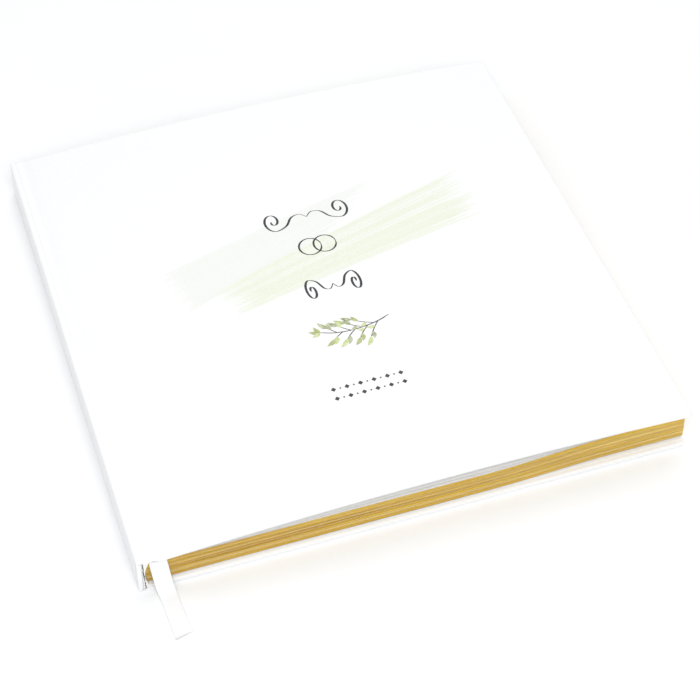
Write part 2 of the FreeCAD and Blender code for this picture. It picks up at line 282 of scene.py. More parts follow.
pale_wash = ink("pale_wash", (0.845, 0.858, 0.825), (0.862, 0.872, 0.848))
green_wash = ink("green_wash", (0.800, 0.830, 0.690), (0.840, 0.866, 0.756))
black_ink = ink("black_ink", (0.018, 0.018, 0.022), (0.06, 0.06, 0.068))
grey_ink = ink("grey_ink", (0.035, 0.035, 0.038), (0.075, 0.075, 0.08))
twig_ink = ink("twig_ink", (0.05, 0.035, 0.045), (0.13, 0.10, 0.12))
leaf_inks = [ink("leaf_ink_olive", (0.36, 0.40, 0.15), (0.56, 0.62, 0.33), 500),
             ink("leaf_ink_spring", (0.50, 0.58, 0.24), (0.74, 0.80, 0.50), 500),
             ink("leaf_ink_grey", (0.30, 0.34, 0.18), (0.60, 0.64, 0.44), 500)]

# ---------------------------------------------------------------- meshes

def mesh_object(name, points, faces, mats, shade=(), smooth=True):
    """A mesh in the part's frame. shade gives each face's material number, if there are several."""
    mesh = bpy.data.meshes.new(name)
    mesh.from_pydata([tuple(p) for p in points], [], faces)
    for mat in mats:
        mesh.materials.append(mat)
    for face in mesh.polygons:
        face.use_smooth = smooth
        if shade:
            face.material_index = shade[face.index]
    mesh.update()
    item = bpy.data.objects.new(name, mesh)
    bpy.context.scene.collection.objects.link(item)
    return item


def behind(item, thickness):
    """Gives a surface its thickness behind the side that its faces look to."""
    solid = item.modifiers.new("thickness", "SOLIDIFY")
    solid.thickness = thickness
    solid.offset = -1.0
    return solid


def thicken(item, thickness):
    """A thin sheet with soft shading that keeps its flat faces flat."""
    behind(item, thickness).use_even_offset = False
    even = item.modifiers.new("flat_faces_stay_flat", "WEIGHTED_NORMAL")
    even.keep_sharp = True
    return item


def stations(low, high, step, extra=()):
    """Values from low to high about a step apart, with some others that must be among them."""
    fixed = sorted({low, high, *[value for value in extra if low < value < high]})
    values = [low]
    for start, end in zip(fixed, fixed[1:]):
        count = max(1, round((end - start) / step))
        values += [start + (end - start) * i / count for i in range(1, count + 1)]
    return values


def grid_faces(columns, rows):
    """The faces of a grid of points that is listed column by column."""
    return [[i * rows + j, (i + 1) * rows + j, (i + 1) * rows + j + 1, i * rows + j + 1]
            for i in range(columns - 1) for j in range(rows - 1)]


def repaint(names, mat):
    """CAD pieces that only get a better material."""
    for name in names:
        nodes[name].data.materials.clear()
        nodes[name].data.materials.append(mat)


def ease(value):
    """From 0 to 1 with soft ends, and level outside them."""
    value = min(max(value, 0.0), 1.0)
    return value * value * (3 - 2 * value)


# ---------------------------------------------------------------- the cover sheet
# The printed sheet lies on the outside of each board and is folded round its edges. A face
# function gives the point at (s, y) and a depth below the outer face; s runs across the panel.

RIM_STEPS = 5
SKIN = 0.28 * MM
EDGE_ROUND = 0.75 * MM
CORNER_ROUND = 1.5 * MM
NEARLY_HALF = 0.49
TINY = 0.01 * MM


def wrap(name, face, along, thick_at, closed):
    """The folded sheet of one panel. closed says that it also goes round the last station."""
    end, half = along[-1], HALF
    corner = CORNER_ROUND if closed else EDGE_ROUND
    across = stations(-half + corner, half - corner, STEP_ALONG,
                      (-half + TURN_IN, half - TURN_IN))
    if closed:
        along = stations(along[0], end - corner, STEP_ACROSS,
                         [s for s in along if s < end - corner] + [end - TURN_IN])
    columns = [("in", s) for s in along]
    if closed:
        columns += [("rim", k) for k in range(RIM_STEPS, -1, -1)]
    rows = [("rim", k, -1) for k in range(RIM_STEPS + 1)] + [("in", y) for y in across]
    rows += [("rim", k, 1) for k in range(RIM_STEPS, -1, -1)]

    def rim(step, thick):
        """How far in from the edge, and how deep, a step of the rounded edge lies."""
        radius = min(EDGE_ROUND, thick * NEARLY_HALF)
        if step == 0:
            return 0.0, thick / 2
        turn = math.radians(90) * (step - 1) / (RIM_STEPS - 1)
        return radius * (1 - math.cos(turn)), radius * (1 - math.sin(turn))

    def plan(column, row):
        """(s, y, depth) on the outer side."""
        if column[0] == "in":
            if row[0] == "in":
                return column[1], row[1], 0.0
            inset, depth = rim(row[1], thick_at(column[1]))
            return column[1], row[2] * (half - inset), depth
        if row[0] == "in":
            inset, depth = rim(column[1], thick_at(end))
            return end - inset, row[1], depth
        ring = min(column[1], row[1])
        inset, depth = rim(ring, thick_at(end))
        steps = RIM_STEPS - ring
        if steps == 0:
            share = 0.5
        elif row[1] == ring:
            share = (RIM_STEPS - column[1]) / (2 * steps)
        else:
            share = 1 - (RIM_STEPS - row[1]) / (2 * steps)
        turn = math.radians(90) * share
        reach = corner - inset
        return (end - corner + reach * math.sin(turn),
                row[2] * (half - corner + reach * math.cos(turn)), depth)

    points, places = [], {}

    def vertex(column, row, under):
        """The number of a point, which is made when it is first asked for."""
        key = (column, row, under)
        on_edge = any(c[0] == "rim" and c[1] == 0 for c in (column, row))
        if on_edge:
            key = (column, row, False)
        if key not in places:
            s, y, depth = plan(column, row)
            thick = thick_at(s if column[0] == "in" else end)
            places[key] = len(points)
            points.append(face(s, y, thick - depth if under and not on_edge else depth))
        return places[key]

    def folded_in(low_column, column, low_row, row):
        """True if the patch of the under side is covered by a turn-in."""
        if "rim" in (low_column[0], column[0], low_row[0], row[0]):
            return True
        beyond_end = closed and low_column[1] >= end - TURN_IN - TINY
        return beyond_end or max(low_row[1], -row[1]) >= half - TURN_IN - TINY

    faces = []
    for low_column, column in zip(columns, columns[1:]):
        for low_row, row in zip(rows, rows[1:]):
            around = [(low_column, low_row), (column, low_row), (column, row), (low_column, row)]
            faces.append([vertex(*c, False) for c in around])
            if folded_in(low_column, column, low_row, row):
                faces.append([vertex(*c, True) for c in reversed(around)])
    # turn the faces over if they look into the sheet
    middle = along[len(along) // 2]
    toward = Vector(face(middle, 0, 0)) - Vector(face(middle, 0, MM))
    s_way = Vector(face(middle + 0.1 * MM, 0, 0)) - Vector(face(middle, 0, 0))
    if s_way.cross(Vector((0, 1, 0))).dot(toward) < 0:
        faces = [list(reversed(f)) for f in faces]
    return thicken(mesh_object(name, points, faces, [laminate]), SKIN)


JOINT_START = from_spine(2.4)
JOINT_LAYERS = 2 * SHEET_THICK
JOINT_RAMP = 1.4 * MM
CREASE_DEPTH = 0.22 * MM
BACK_CREASE = 0.5


def crease(x):
    """The joint's shallow valley between the spine and a board."""
    share = (x - JOINT_START) / (BOARD_START - JOINT_START)
    return CREASE_DEPTH * math.sin(math.pi * share) ** 2 if 0 < share < 1 else 0.0


def front_face(x, y, depth):
    """A point of the front cover and its joint."""
    return (x, y, crown(x) - crease(x) - depth)


def back_face(x, y, depth):
    """A point of the back cover and its joint, whose valley is shallower."""
    return (x, y, crease(x) * BACK_CREASE + depth)


def case_thick(x):
    """A board with the sheet round it is as thick everywhere."""
    return CASE_THICK


def joint_thick(x):
    """Two layers of sheet in the joint, rising to the whole case at the board."""
    return JOINT_LAYERS + (CASE_THICK - JOINT_LAYERS) * ease((x - BOARD_START) / JOINT_RAMP + 1)


board_stations = stations(BOARD_START, FORE, STEP_ACROSS)
joint_stations = stations(JOINT_START, BOARD_START, JOINT_STEP)

front_wrap = wrap("front_cover_wrap", front_face, board_stations, case_thick, True)
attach(front_wrap, "front_cover")
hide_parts("front_cover_sheet")

back_wrap = wrap("back_cover_wrap", back_face, board_stations, case_thick, True)
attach(back_wrap, "back_cover")
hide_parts("back_cover_sheet")

front_joint = wrap("front_joint", front_face, joint_stations, joint_thick, False)
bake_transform(front_joint)

back_joint = wrap("back_joint", back_face, joint_stations, joint_thick, False)
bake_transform(back_joint)

SPINE_ROUND = 0.8 * MM
SPINE_ROUND_STEPS, SPINE_FLAT_STEPS = 6, 6
SPINE_RAMP = 0.3 * MM
lip = JOINT_START - SPINE - SPINE_ROUND
arc = SPINE_ROUND * math.pi / 2
flat = SPINE_TOP - 2 * SPINE_ROUND
spine_length = 2 * (lip + arc) + flat


def spine_face(s, y, depth):
    """s runs from the front joint over the spine's corners and down to the back joint."""
    if s > spine_length / 2:
        x, _, z = spine_face(spine_length - s, y, depth)
        return (x, y, SPINE_TOP - z)
    if s <= lip:
        return (JOINT_START - s, y, SPINE_TOP - depth)
    if s < lip + arc:
        turn = (s - lip) / SPINE_ROUND
        reach = SPINE_ROUND - min(depth, SPINE_ROUND * 0.9)
        return (SPINE + SPINE_ROUND - reach * math.sin(turn), y,
                SPINE_TOP - SPINE_ROUND + reach * math.cos(turn))
    return (SPINE + depth, y, SPINE_TOP - SPINE_ROUND - (s - lip - arc))


def spine_thick(s):
    """The joint's two layers at the lips and the spine board between them."""
    inside = min(s, spine_length - s) - lip - arc
    return JOINT_LAYERS + (SPINE_CASE_THICK - JOINT_LAYERS) * ease(inside / SPINE_RAMP)


turns = [lip + arc * i / SPINE_ROUND_STEPS for i in range(SPINE_ROUND_STEPS + 1)]
ends = turns + [turns[-1] + SPINE_RAMP * k / 3 for k in (1, 2, 3)]
spine_stations = sorted({0.0, spine_length, *ends, *[spine_length - s for s in ends],
                         *[ends[-1] + (flat - 2 * SPINE_RAMP) * i / SPINE_FLAT_STEPS
                           for i in range(1, SPINE_FLAT_STEPS)]})
spine_wrap = wrap("spine_wrap", spine_face, spine_stations, spine_thick, False)
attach(spine_wrap, "block")
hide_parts("spine_cover_sheet")

repaint(("back_board", "front_board", "spine_board"), greyboard)
repaint(("back_pastedown", "front_pastedown"), endpaper)
repaint(("sewing_threads",), linen)
repaint(("spine_mull",), gauze)
repaint(("spine_lining",), lining)

# ---------------------------------------------------------------- the sewn sections

SECTION_COUNT = 8
SHEETS_PER_SECTION = 5
SHEET_FILL = 0.985    # the share of the pitch that paper takes: the rest is the gap
EDGE_JITTER = 0.035 * MM
FORE_JITTER = 1.6 * EDGE_JITTER
PLAIN, GILT, DEEP_AND_SHADE, WORN = range(4)
RUBBED_SECTION = 6
FOLD_STEPS = 8
BLOCK_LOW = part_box("section_8")[0].z
SKEW_START, SKEW_END = from_spine(135), from_spine(185)
SKEW_OUT, SKEW_IN = 0.45 * MM, 1.0 * MM
FAN = 1.0 * MM


def tail_skew(x):
    """The block isn't trimmed square: its tail edge runs inwards near the fore edge."""
    return ease((x - SKEW_START) / (SKEW_END - SKEW_START)) * (SKEW_OUT + SKEW_IN) - SKEW_OUT


def fan(x, z):
    """The leaves lie a little more loosely towards the fore edge, and more so near the top."""
    share = (z - BLOCK_LOW) / (PAGE_TOP - BLOCK_LOW)
    return FAN * share * ease((x - SKEW_START) / (SKEW_END - SKEW_START))


def edge_finish(number, layer, lower):
    """Most leaves are fully gilded, a few at random in a deeper gold. The darker gilt on the
    outermost leaves at the block's top and bottom and at the foot of each section is painted
    shade for the gaps between sections, and a few edges are rubbed.
    """
    # painted shade: the two outermost leaves at the block's top and bottom and at the foot of each
    # section take the darker gilt for the shade in the gaps
    if layer < 2 and (number, lower) in ((1, False), (SECTION_COUNT, True)):
        return DEEP_AND_SHADE
    if layer < 2 and lower:
        return WORN if number == RUBBED_SECTION else DEEP_AND_SHADE
    return rng.choice((GILT,) * 8 + (DEEP_AND_SHADE,))


def folded_sheets(number):
    """A section's nested folded sheets, with gilded edges and plain faces."""
    low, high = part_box("section_%d" % number)
    radius = (high.z - low.z) / 2
    centre_x, centre_z = low.x + radius, low.z + radius
    pitch = radius / SHEETS_PER_SECTION
    thick = pitch * SHEET_FILL
    shift = rng.uniform(-1, 1) * EDGE_JITTER
    points, faces, shade = [], [], []
    for layer in range(SHEETS_PER_SECTION):
        outer = radius - layer * pitch
        inner = outer - thick
        reach_x = [high.x - rng.uniform(0, 1) * FORE_JITTER for _ in range(2)]
        # along the upper half from the fore edge, round the fold and back along the lower half
        line = [(x, 0.0, 1.0) for x in reversed(stations(centre_x, reach_x[0], LEAF_STEP))]
        upper_count = len(line)
        turns = [math.pi * i / FOLD_STEPS for i in range(1, FOLD_STEPS)]
        line += [(centre_x, -math.sin(turn), math.cos(turn)) for turn in turns]
        line += [(x, 0.0, -1.0) for x in stations(centre_x, reach_x[1], LEAF_STEP)]
        drift = {side: [rng.uniform(-1, 1) * EDGE_JITTER for _ in range(4)] for side in (-1, 1)}
        finish = [edge_finish(number, layer, lower) for lower in (False, True)]
        base = len(points)
        for index, (x, x_way, z_way) in enumerate(line):
            lower = index >= upper_count
            share = (x - centre_x) / (high.x - centre_x)
            for side in (-1, 1):
                start, stop = drift[side][2 * lower:2 * lower + 2]
                y = side * (PAGE_HALF - EDGE_JITTER) + shift + start + (stop - start) * share
                if side < 0:
                    y += tail_skew(x)
                for reach in (outer, inner):
                    z = centre_z + z_way * reach
                    points.append((x + x_way * reach, y, z + fan(x, z)))
        # each place on the line has four points: tail outer, tail inner, head outer, head inner
        for index in range(len(line) - 1):
            a, b = base + 4 * index, base + 4 * (index + 1)
            faces += [[a, b, b + 2, a + 2], [a + 1, a + 3, b + 3, b + 1],
                      [a, a + 1, b + 1, b], [a + 2, b + 2, b + 3, a + 3]]
            edge = finish[index >= upper_count + FOLD_STEPS // 2]
            shade += [PLAIN, PLAIN, edge, edge]
        first, last = base, base + 4 * (len(line) - 1)
        faces += [[first, first + 2, first + 3, first + 1], [last, last + 1, last + 3, last + 2]]
        shade += finish
    item = mesh_object("leaves_%d" % number, points, faces,
                       [leaf_paper, gilt, gilt_deep_and_shade, gilt_worn], shade, smooth=False)
    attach(item, nodes["section_%d" % number]["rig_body"])
    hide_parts("section_%d" % number)


for section_number in range(1, SECTION_COUNT + 1):
    folded_sheets(section_number)

# ---------------------------------------------------------------- flyleaves

LEAF_THICK = 0.16 * MM
BOW = 1.5 * MM
BOW_START, BOW_END = from_spine(30), from_spine(190)
BOW_AT_HEAD, BOW_MORE_AT_TAIL = 0.45, 0.55


def flyleaf(node, lift):
    """A single thin sheet. lift gives how far it bows above its own node."""
    low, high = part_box(node)
    xs, ys = stations(low.x, high.x, STEP_ACROSS), stations(low.y, high.y, STEP_ALONG)
    points = [(x, y + (tail_skew(x) if y == low.y else 0), high.z + lift(x, y))
              for x in xs for y in ys]
    item = mesh_object(node + "_sheet", points, grid_faces(len(xs), len(ys)), [endpaper])
    thicken(item, LEAF_THICK)
    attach(item, nodes[node]["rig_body"])
    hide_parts(node)


def front_bow(x, y):
    """The leaf springs up towards the arched cover, most near the tail."""
    share = (x - BOW_START) / (BOW_END - BOW_START)
    tail = BOW_AT_HEAD + BOW_MORE_AT_TAIL * ease(0.5 - y / (2 * HALF))
    return fan(x, PAGE_TOP) + BOW * tail * math.sin(math.pi * min(max(share, 0), 1)) ** 2


def lies_flat(x, y):
    """The leaf under the block doesn't bow."""
    return 0.0


flyleaf("front_flyleaf", front_bow)
flyleaf("back_flyleaf", lies_flat)

# ---------------------------------------------------------------- folds of the endpapers
# An endpaper is one folded sheet. Between its free leaf and the half that is pasted down it
# runs along the joint and over the board's inner edge. Each profile is in (x, z).

FOLD_THICK = 0.08 * MM
BOARD_EDGE = BOARD_START - 0.1 * MM
FOLD_START, FOLD_LOW, FOLD_HIGH = 0.1 * MM, from_spine(5.6), from_spine(7.0)
front_root, front_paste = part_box("front_flyleaf"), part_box("front_pastedown")
back_root, back_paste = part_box("back_flyleaf"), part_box("back_pastedown")
FRONT_FOLD = [(front_root[0].x + FOLD_START, front_root[1].z + 0.10 * MM),
              (FOLD_LOW, front_root[1].z + 1.1 * MM),
              (FOLD_HIGH, front_root[1].z + 1.7 * MM),
              (BOARD_EDGE, front_root[1].z + 1.6 * MM),
              (BOARD_EDGE, front_paste[0].z + 0.1 * MM),
              (front_paste[0].x, front_paste[0].z - 0.04 * MM)]
BACK_FOLD = [(back_root[0].x + FOLD_START, back_root[0].z + 0.02 * MM),
             (FOLD_LOW, back_root[0].z - 0.8 * MM),
             (FOLD_HIGH, back_root[0].z - 1.5 * MM),
             (BOARD_EDGE, back_root[0].z - 1.5 * MM),
             (BOARD_EDGE, back_paste[1].z - 0.1 * MM),
             (back_paste[0].x, back_paste[1].z + 0.10 * MM)]


def endpaper_fold(name, profile):
    """The strip between a flyleaf and its pastedown, in its shape with the book closed."""
    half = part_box("spine_lining")[1].y
    ys = stations(-half, half, LEAF_STEP)
    points = [(x, y, z) for x, z in profile for y in ys]
    item = mesh_object(name, points, grid_faces(len(profile), len(ys)), [endpaper])
    thicken(item, FOLD_THICK)
    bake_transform(item)


endpaper_fold("front_endpaper_fold", FRONT_FOLD)
endpaper_fold("back_endpaper_fold", BACK_FOLD)

# ---------------------------------------------------------------- hollow back
# Folded paper fills the hollow between the spine and the block's rounded back, and runs on
# under the block into the joint. Where it shows at the ends of the spine a narrow crack splits
# it, filled with a near-black strip that is painted shade for the dark gap there.

HOLLOW_LOW, HOLLOW_HIGH = 0.8 * MM, SPINE_TOP - 0.8 * MM
FOOT_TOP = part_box("back_pastedown")[1].z
CRACK_WIDTH = 0.8 * MM
CRACK_HIGH, CRACK_LOW = 2.2 * MM, 2.7 * MM
SHADE_STRIP_DEPTH = 0.2 * MM
HOLLOW_STEP = 0.6 * MM
BACK_SWELL = 1.25    # how much more the back's rounding falls away than the outermost fold
SLIT, BACK_GAP = 0.02 * MM, 0.04 * MM
FOOT_END = BOARD_START - 0.2 * MM
TAIL_INSET, HEAD_INSET = 0.4 * MM, 1.2 * MM
fold_middle, fold_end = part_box("section_4")[0].x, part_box("section_1")[0].x


def block_back(z):
    """Where the block's rounded back lies at a height. Below the block there is only the joint."""
    if z <= FOOT_TOP:
        return FOOT_END
    share = (2 * z - PAGE_TOP - BLOCK_LOW) / (PAGE_TOP - BLOCK_LOW)
    return fold_middle + (fold_end - fold_middle) * BACK_SWELL * share ** 2 - BACK_GAP


def hollow_fill(name, outer_end, with_outer, crack_high, crack_low):
    """The folded paper at one end of the spine, from the lining's end to outer_end."""
    side = math.copysign(1, outer_end)
    inner_end = side * (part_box("spine_lining")[1].y + 0.1 * MM)
    wall = SPINE + SPINE_CASE_THICK + 0.03 * MM
    outer, inner, shade_strip = [], [], []
    heights = stations(HOLLOW_LOW, HOLLOW_HIGH, HOLLOW_STEP, (FOOT_TOP, FOOT_TOP + SLIT))
    for z in heights:
        share = (z - HOLLOW_LOW) / (HOLLOW_HIGH - HOLLOW_LOW)
        crack = SPINE + crack_low + (crack_high - crack_low) * share
        left, right = (rng.uniform(0.1, 0.9) * CRACK_WIDTH / 2 for _ in range(2))
        left = max(wall + SLIT, crack - left)
        outer.append((wall, left, z))
        shade_strip.append((left, crack + right, z))
        inner.append((crack + right, max(crack + right + 0.05 * MM, block_back(z)), z))
    points, faces, shade = [], [], []
    # the middle lobe is the near-black painted shade of the gap between the spine board and the
    # block
    for number, lobe in enumerate((inner, shade_strip, outer) if with_outer else (inner,)):
        base = len(points)
        start = outer_end - side * (SHADE_STRIP_DEPTH if lobe is shade_strip else 0)
        for low_x, high_x, z in lobe:
            points += [(low_x, start, z), (high_x, start, z),
                       (high_x, inner_end, z), (low_x, inner_end, z)]
        for a in range(base, len(points) - 4, 4):
            b = a + 4
            faces += [[a + k, a + (k + 1) % 4, b + (k + 1) % 4, b + k] for k in range(4)]
        last = len(points) - 4
        faces += [[base + 3, base + 2, base + 1, base], [last, last + 1, last + 2, last + 3]]
        shade += [number % 2] * (4 * len(heights) - 2)
    if side > 0:
        faces = [list(reversed(face)) for face in faces]
    item = mesh_object(name, points, faces, [endpaper, painted_gap_shade], shade, smooth=False)
    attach(item, "block")


hollow_fill("hollow_paper_tail", TAIL_INSET - HALF, True, CRACK_HIGH, CRACK_LOW)
hollow_fill("hollow_paper_head", HALF - HEAD_INSET, False, CRACK_HIGH, CRACK_HIGH)

# ---------------------------------------------------------------- ribbon bookmark
# It is glued behind the block, comes out at the head, turns up over the head edge, lies on the
# top section, falls over the tail edge and lies out on the table, where it is cut at a slant.

RIBBON_WIDTH = 6.6 * MM
RIBBON_THICK = 0.16 * MM
SELVEDGE = 0.5 * MM
BEAD, BELLY = 1.2, 1.1    # how much thicker the woven edges and the middle are
BEAD_AT = 0.3 * SELVEDGE
CUT_SLANT = 0.22
ON_PAGES = PAGE_TOP / MM + 0.11

# centre line in mm: distance from the spine, Y, Z and the turn of the width from X towards Z
RIBBON_TAIL_RUN = [
    (10.5, -130.6, 0.18, 0), (10.2, -124.0, 0.30, 0), (9.9, -117.5, 0.20, 0),
    (9.6, -112.6, 0.45, 0), (9.35, -110.4, 1.5, 0), (9.0, -109.3, 3.2, 0),
    (8.75, -108.3, 6.2, 0), (8.4, -107.5, 10.0, 0), (8.15, -107.1, 12.8, 0),
    (8.1, -106.6, ON_PAGES - 0.1, 0), (8.1, -105.2, ON_PAGES, 0), (8.1, -98.0, ON_PAGES, 0),
    (8.1, -70.0, ON_PAGES, 0), (8.2, -35.0, ON_PAGES, 0), (8.3, 0.0, ON_PAGES, 0),
]
RIBBON_HEAD_RUN = [
    (8.3, 0.0, ON_PAGES, 0), (8.4, 35.0, ON_PAGES, 0), (8.5, 70.0, ON_PAGES, 0),
    (8.5, 100.0, ON_PAGES, 0), (8.5, 105.8, ON_PAGES, 0), (8.45, 106.8, 13.6, -2),
    (8.2, 107.1, 12.6, -14), (7.4, 107.1, 11.2, -40), (6.2, 107.1, 10.2, -68),
    (4.8, 107.1, 9.9, -86), (3.2, 107.1, 9.85, -90), (2.35, 106.95, 9.85, -90),
    (2.06, 106.3, 9.85, -90), (2.05, 105.2, 9.85, -90),
]
RIBBON_GLUED_RUN = [(2.05, 105.2, 9.85, -90), (2.05, 84.0, 9.85, -90)]


def smooth_run(places, steps):
    """A smooth curve through places, each a tuple of numbers."""
    run = []
    for index in range(len(places) - 1):
        quad = [places[min(max(index + k, 0), len(places) - 1)] for k in (-1, 0, 1, 2)]
        for step in range(steps):
            t = step / steps
            run.append(tuple(0.5 * (2 * b + (c - a) * t + (2 * a - 5 * b + 4 * c - d) * t ** 2
                                    + (3 * b - a - 3 * c + d) * t ** 3)
                             for a, b, c, d in zip(*quad)))
    return run + [places[-1]]


def ribbon_outline():
    """Half of the strip's outline, from edge to edge: flat, with thicker woven edges."""
    half, thick = RIBBON_WIDTH / 2, RIBBON_THICK / 2
    return [(-half, 0.0), (-half + BEAD_AT, thick * BEAD), (-half + SELVEDGE, thick),
            (-half / 3, thick * BELLY), (half / 3, thick * BELLY), (half - SELVEDGE, thick),
            (half - BEAD_AT, thick * BEAD), (half, 0.0)]


def ribbon_piece(name, places, steps, slanted):
    """A stretch of the ribbon along its places. slanted cuts its first end at a slant."""
    run = smooth_run(places, steps)
    centre = [Vector((from_spine(x), y * MM, z * MM)) for x, y, z, _ in run]
    upper = ribbon_outline()
    outline = upper + [(u, -v) for u, v in reversed(upper[1:-1])]
    points, faces = [], []
    for index, point in enumerate(centre):
        ahead = centre[min(index + 1, len(centre) - 1)] - centre[max(index - 1, 0)]
        turn = math.radians(run[index][3])
        wide = Vector((math.cos(turn), 0, math.sin(turn)))
        wide = (wide - ahead * (wide.dot(ahead) / ahead.length_squared)).normalized()
        up = ahead.cross(wide).normalized()
        for u, v in outline:
            slant = Vector((0, u * CUT_SLANT, 0)) if slanted and index == 0 else Vector()
            points.append(point + wide * u + up * v + slant)
    count = len(outline)
    for index in range(len(centre) - 1):
        for k in range(count):
            a, b = index * count + k, index * count + (k + 1) % count
            faces.append([a, b, b + count, a + count])
    faces += [list(range(count)), list(reversed(range(len(points) - count, len(points))))]
    item = mesh_object(name, points, faces, [satin])
    for face in item.data.polygons[-2:]:
        face.use_smooth = False
    return item


tail_ribbon = ribbon_piece("ribbon_tail_run", RIBBON_TAIL_RUN, 5, True)
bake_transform(tail_ribbon)
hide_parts("ribbon_bookmark")
head_ribbon = ribbon_piece("ribbon_head_run", RIBBON_HEAD_RUN, 5, False)
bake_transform(head_ribbon)
glued_ribbon = ribbon_piece("ribbon_glued_run", RIBBON_GLUED_RUN, 1, False)
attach(glued_ribbon, "block")

# ---------------------------------------------------------------- the print on the front cover
# Two dry-brush washes, two scrolls and a pair of rings drawn with a broad pen, a leafy sprig
# and two rows of small ornaments. Places are from the spine's outer face and the tail edge.

INK_THICK = 0.012 * MM
WASH_LIFT, TOP_WASH_LIFT, INK_LIFT, LEAF_LIFT = (step * 0.014 * MM for step in (1, 2, 3, 4))


def on_cover(x, y, lift):
    """The point of the front cover's face that lies this far from the spine and the tail."""
    across = from_spine(x)
    return (across, y * MM - HALF, crown(across) + lift)


def printed(name, outlines, mat, lift):
    """Flat patches of ink. An outline is a pair of point lists, one for each of its sides."""
    points, faces = [], []
    for left, right in outlines:
        base, count = len(points), len(left)
        points += [on_cover(x, y, lift) for x, y in left] + [on_cover(x, y, lift) for x, y in right]
        for i in range(count - 1):
            faces.append([base + i, base + count + i, base + count + i + 1, base + i + 1])
    item = mesh_object(name, points, faces, [mat], smooth=False)
    if item.data.polygons[0].normal.z < 0:
        item.data.flip_normals()
    behind(item, INK_THICK)
    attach(item, "front_cover")


def between(a, b, share):
    """The point that lies this share of the way from a to b."""
    return tuple(p + (q - p) * share for p, q in zip(a, b))


STREAK_STEPS = 24


def wash(name, corners, lanes, ragged, dryness, mat, lift):
    """A dry-brush stroke: one streak of paint for each bristle, fuller where the brush is wet.
    corners are the stroke's upper left, lower left, upper right and lower right, and ragged
    says how uneven its two ends are."""
    upper_left, lower_left, upper_right, lower_right = corners
    outlines = []
    for lane in range(lanes):
        starts = [between(upper_left, lower_left, (lane + k) / lanes) for k in (0, 1)]
        stops = [between(upper_right, lower_right, (lane + k) / lanes) for k in (0, 1)]
        first = rng.uniform(0, ragged[0]) * rng.random()
        last = 1 - rng.uniform(0, ragged[1]) * rng.random()
        ripples = [(rng.uniform(1, 5), rng.uniform(0, math.tau)) for _ in range(3)]
        dry = dryness * rng.random() ** 1.5
        sides = ([], [])
        for step in range(STREAK_STEPS + 1):
            along = step / STREAK_STEPS
            t = first + (last - first) * along
            ripple = sum(math.sin(pace * t * math.tau + phase) for pace, phase in ripples) / 3
            cover = 1 - dry * (0.55 + 0.45 * t) * (1 + 0.35 * ripple)
            taper = 0.25 + 0.75 * min(1.0, 14 * along, 14 * (1 - along))
            full = max(0.12, min(cover, 0.99)) * taper
            low, high = between(starts[0], stops[0], t), between(starts[1], stops[1], t)
            sides[0].append(between(low, high, 0.5 - full / 2))
            sides[1].append(between(low, high, 0.5 + full / 2))
        outlines.append(sides)
    printed(name, outlines, mat, lift)


wash("pale_brush_stroke", ((42.0, 129.5), (48.5, 107.2), (144.0, 156.3), (118.0, 132.0)),
     lanes=30, ragged=(0.06, 0.14), dryness=0.35, mat=pale_wash, lift=WASH_LIFT)
wash("green_brush_stroke", ((60.5, 113.5), (66.0, 99.0), (179.0, 151.0), (179.5, 123.5)),
     lanes=30, ragged=(0.08, 0.10), dryness=0.98, mat=green_wash, lift=TOP_WASH_LIFT)


NIB, NIB_PRESS = Vector((0.25, 0.97)), 1.5
PEN_TIP, TIP_GROWTH = 0.3, 6


def pen_line(places, thin, thick, steps=8):
    """A pen stroke with a slanted broad nib: thick where it runs down, thin across."""
    run = smooth_run(places, steps)
    sides = ([], [])
    for index, (x, y) in enumerate(run):
        before, after = run[max(index - 1, 0)], run[min(index + 1, len(run) - 1)]
        way = Vector((after[0] - before[0], after[1] - before[1])).normalized()
        press = abs(way.dot(NIB)) ** NIB_PRESS
        share = index / len(run)
        tip = min(1.0, PEN_TIP + TIP_GROWTH * share, PEN_TIP + TIP_GROWTH * (1 - share))
        reach = (thin + (thick - thin) * press) / 2 * tip
        sides[0].append((x - way.y * reach, y + way.x * reach))
        sides[1].append((x + way.y * reach, y - way.x * reach))
    return sides


SCROLL_PEN, RING_PEN = (0.26, 0.98), (0.36, 0.80)
STEM_PEN, TWIG_PEN = (0.36, 0.62), (0.26, 0.42)
SPIRAL_POINTS, SPIRAL_START, SPIRAL_TURN, SPIRAL_CLOSE = 15, -100, 470, 0.84


def volute(middle, width, height):
    """One half of a scroll: it leaves the middle in a wave and winds up in a spiral. A
    negative width draws the left half, and a negative height turns it upside down."""
    x, y = middle
    places = [(x, y), (x + 0.14 * width, y + 0.20 * height), (x + 0.34 * width, y + 0.12 * height),
              (x + 0.50 * width, y - 0.22 * height)]
    for k in range(SPIRAL_POINTS):
        share = k / (SPIRAL_POINTS - 1)
        angle = math.radians(SPIRAL_START + SPIRAL_TURN * share)
        reach = 1 - SPIRAL_CLOSE * share
        places.append((x + (0.76 + 0.22 * reach * math.cos(angle)) * width,
                       y + (0.12 + 0.50 * reach * math.sin(angle)) * height))
    return pen_line(places, *SCROLL_PEN, 4)


